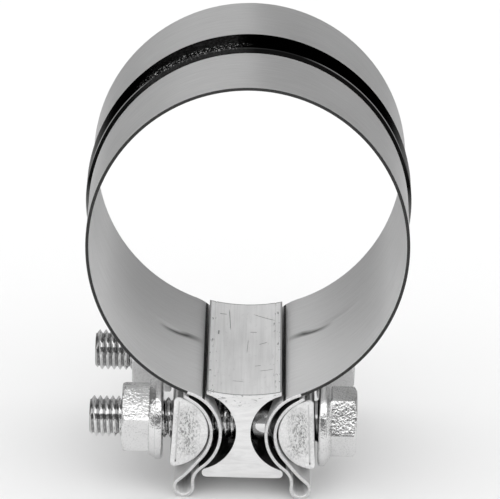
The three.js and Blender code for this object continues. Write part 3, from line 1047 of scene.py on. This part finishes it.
def bright_zinc():
    """Plated fasteners: mirror bright, with the mottled relief of a barrel-plated forging and painted
    shade in the thread's valleys."""
    n = Nodes("bright_zinc")
    _, y, z = n.axes()
    beside = n.plus(n.math("ABSOLUTE", y), -REAR_Y)
    above = n.plus(z, -BOLT_Z)
    radius = n.math("SQRT", n.plus(n.math("POWER", beside, 2.0), n.math("POWER", above, 2.0)))
    # Painted shade in the thread's valleys.
    painted_valley_shade = n.window(radius, THREAD_MINOR - 0.1 * MM, THREAD_MINOR + 0.1 * MM, 0.3 * MM)
    forged = n.step(radius, SHANK_RADIUS + 0.4 * MM, SHANK_RADIUS + 1.2 * MM)
    mottle = n.noise(1700, 3, roughness=0.55, distortion=0.3)
    patch = n.times(n.mix(n.noise(260, 2), 0.5, 1.0, low=0.38, high=0.6), forged)
    pits = n.times(n.step(n.noise(3000, 3, roughness=0.6), 0.5, 0.66), patch)
    colour = n.times(n.mix(painted_valley_shade, 0.8, 0.4), n.mix(pits, 1.0, 0.7))
    height = n.times(mottle, patch)
    return n.finish(colour, 0.1, n.bump(height, 0.19 * MM))


# ------------------------------------------------------------------ studio

FLOOR_SHADE = 0.86
FLOOR_SHADE_IN_METAL = 0.36  # what the metal reflects behind the clamp
FLOOR_HALF = 3.0


def build_floor():
    """A plain pale floor, which the metal sees as a greyer one behind the clamp."""
    n = Nodes("pale_floor")
    _, y, _ = n.axes()
    is_glossy = n.add("ShaderNodeLightPath").outputs["Is Glossy Ray"]
    seen_behind = n.times(n.step(y, 0, 60 * MM), is_glossy)
    material = n.finish(n.mix(seen_behind, FLOOR_SHADE, FLOOR_SHADE_IN_METAL), 0.9, metallic=0.0)
    half = FLOOR_HALF
    corners = [(-half, -half, 0), (half, -half, 0), (half, half, 0), (-half, half, 0)]
    mesh = bpy.data.meshes.new("floor")
    mesh.from_pydata(corners, [], [(0, 1, 2, 3)])
    mesh.materials.append(material)
    floor = bpy.data.objects.new("floor", mesh)
    bpy.context.scene.collection.objects.link(floor)


# The room as the metal sees it, as (angle, level) pairs. The angle goes in degrees from the floor on the
# camera's side, up over the clamp, to the floor behind it.
ROOM = (
    (0, 0.3), (26, 0.16), (38, 0.16), (43, 1.8), (72, 1.8), (79, 0.18), (150, 0.18), (180, 0.3),
)
ROOM_SCALE = 2.0  # a colour ramp holds levels up to 1, so ROOM is divided by this and multiplied back
LEFT_GLOW = 0.3  # added behind the clamp on its left
SOFT_LIGHT = 1.2  # what everything but a reflection sees


def light_room():
    """A white panel over the camera and a grey room, seen only in reflections, with even soft light."""
    world = bpy.data.worlds.new("room")
    world.use_nodes = True
    bpy.context.scene.world = world
    n = Wiring(world.node_tree)
    direction = n.add("ShaderNodeTexCoord").outputs["Generated"]
    x, y, z = n.add("ShaderNodeSeparateXYZ", Vector=direction).outputs
    over = n.math("ARCTAN2", z, n.times(y, -1.0))
    stops = [(angle / 180, level / ROOM_SCALE) for angle, level in ROOM]
    seen = n.ramp(n.math("DIVIDE", over, math.pi), stops)
    behind_left = n.times(n.window(x, -0.5, -0.04, 0.12), n.window(y, 0.5, 1, 0.2))
    seen = n.plus(n.times(seen, ROOM_SCALE), n.times(behind_left, LEFT_GLOW))
    is_glossy = n.add("ShaderNodeLightPath").outputs["Is Glossy Ray"]
    background = n.tree.nodes["Background"].inputs
    n.plug(background["Strength"], n.mix(is_glossy, SOFT_LIGHT, seen))
    n.plug(background["Color"], (1, 1, 1, 1))


CAMERA_ANGLES = (-0.1, 23.25, 1.4)  # azimuth, elevation and roll in degrees
CAMERA_DISTANCE = 1.2
CAMERA_TARGET = (0.6 * MM, 0, 53.4 * MM)
CAMERA_LENS = 354.7  # millimetres
CAMERA_CLIP_START = 0.05


def place_camera():
    """A long lens in front of the clamp, looking down at it and rolled a little."""
    azimuth, elevation, roll = (math.radians(angle) for angle in CAMERA_ANGLES)
    target = Vector(CAMERA_TARGET)
    back = Vector((
        math.sin(azimuth) * math.cos(elevation),
        -math.cos(azimuth) * math.cos(elevation),
        math.sin(elevation),
    ))
    right = Vector((math.cos(azimuth), math.sin(azimuth), 0))
    up = back.cross(right)
    rolled_right = right * math.cos(roll) + up * math.sin(roll)
    rolled_up = up * math.cos(roll) - right * math.sin(roll)
    lens = bpy.data.cameras.new("camera")
    lens.lens = CAMERA_LENS
    lens.clip_start = CAMERA_CLIP_START
    camera = bpy.data.objects.new("camera", lens)
    camera.matrix_world = Matrix.Translation(target + back * CAMERA_DISTANCE) @ Matrix((
        (rolled_right.x, rolled_up.x, back.x, 0),
        (rolled_right.y, rolled_up.y, back.y, 0),
        (rolled_right.z, rolled_up.z, back.z, 0),
        (0, 0, 0, 1),
    ))
    bpy.context.scene.collection.objects.link(camera)
    bpy.context.scene.camera = camera


# ------------------------------------------------------------------ the scene

# The sheet's outside and bore are one steel at different painted brightness, the bore's painted darker at
# the ring's sides.
build_band([
    satin_stainless("satin_outside", 0.82, 0.82),
    polished_bead(),
    # One sheared edge, painted dark on the ring and light on the curls and loops, as shade and light.
    cut_edge("dark_cut_edge", 0.06),
    cut_edge("bright_cut_edge", 0.85),
    loop_inside(),
    fold_gap(),
    satin_stainless("satin_bore", 0.98, 0.8),
])
build_block([scuffed_steel(), sawn_end(), polished_hollow()])

bar_materials = [plated_bar(), cast_end()]
build_bar("bar_left", "left_bar", -1, bar_materials)
build_bar("bar_right", "right_bar", 1, bar_materials)

zinc = bright_zinc()
for place, y in (("front", FRONT_Y), ("rear", REAR_Y)):
    build_bolt(f"bolt_{place}", f"{place}_bolt", y, [zinc])
    build_nut(f"nut_{place}", f"{place}_nut", y, [zinc])

build_floor()
light_room()
place_camera()
bpy.context.scene.view_settings.view_transform = "Standard"
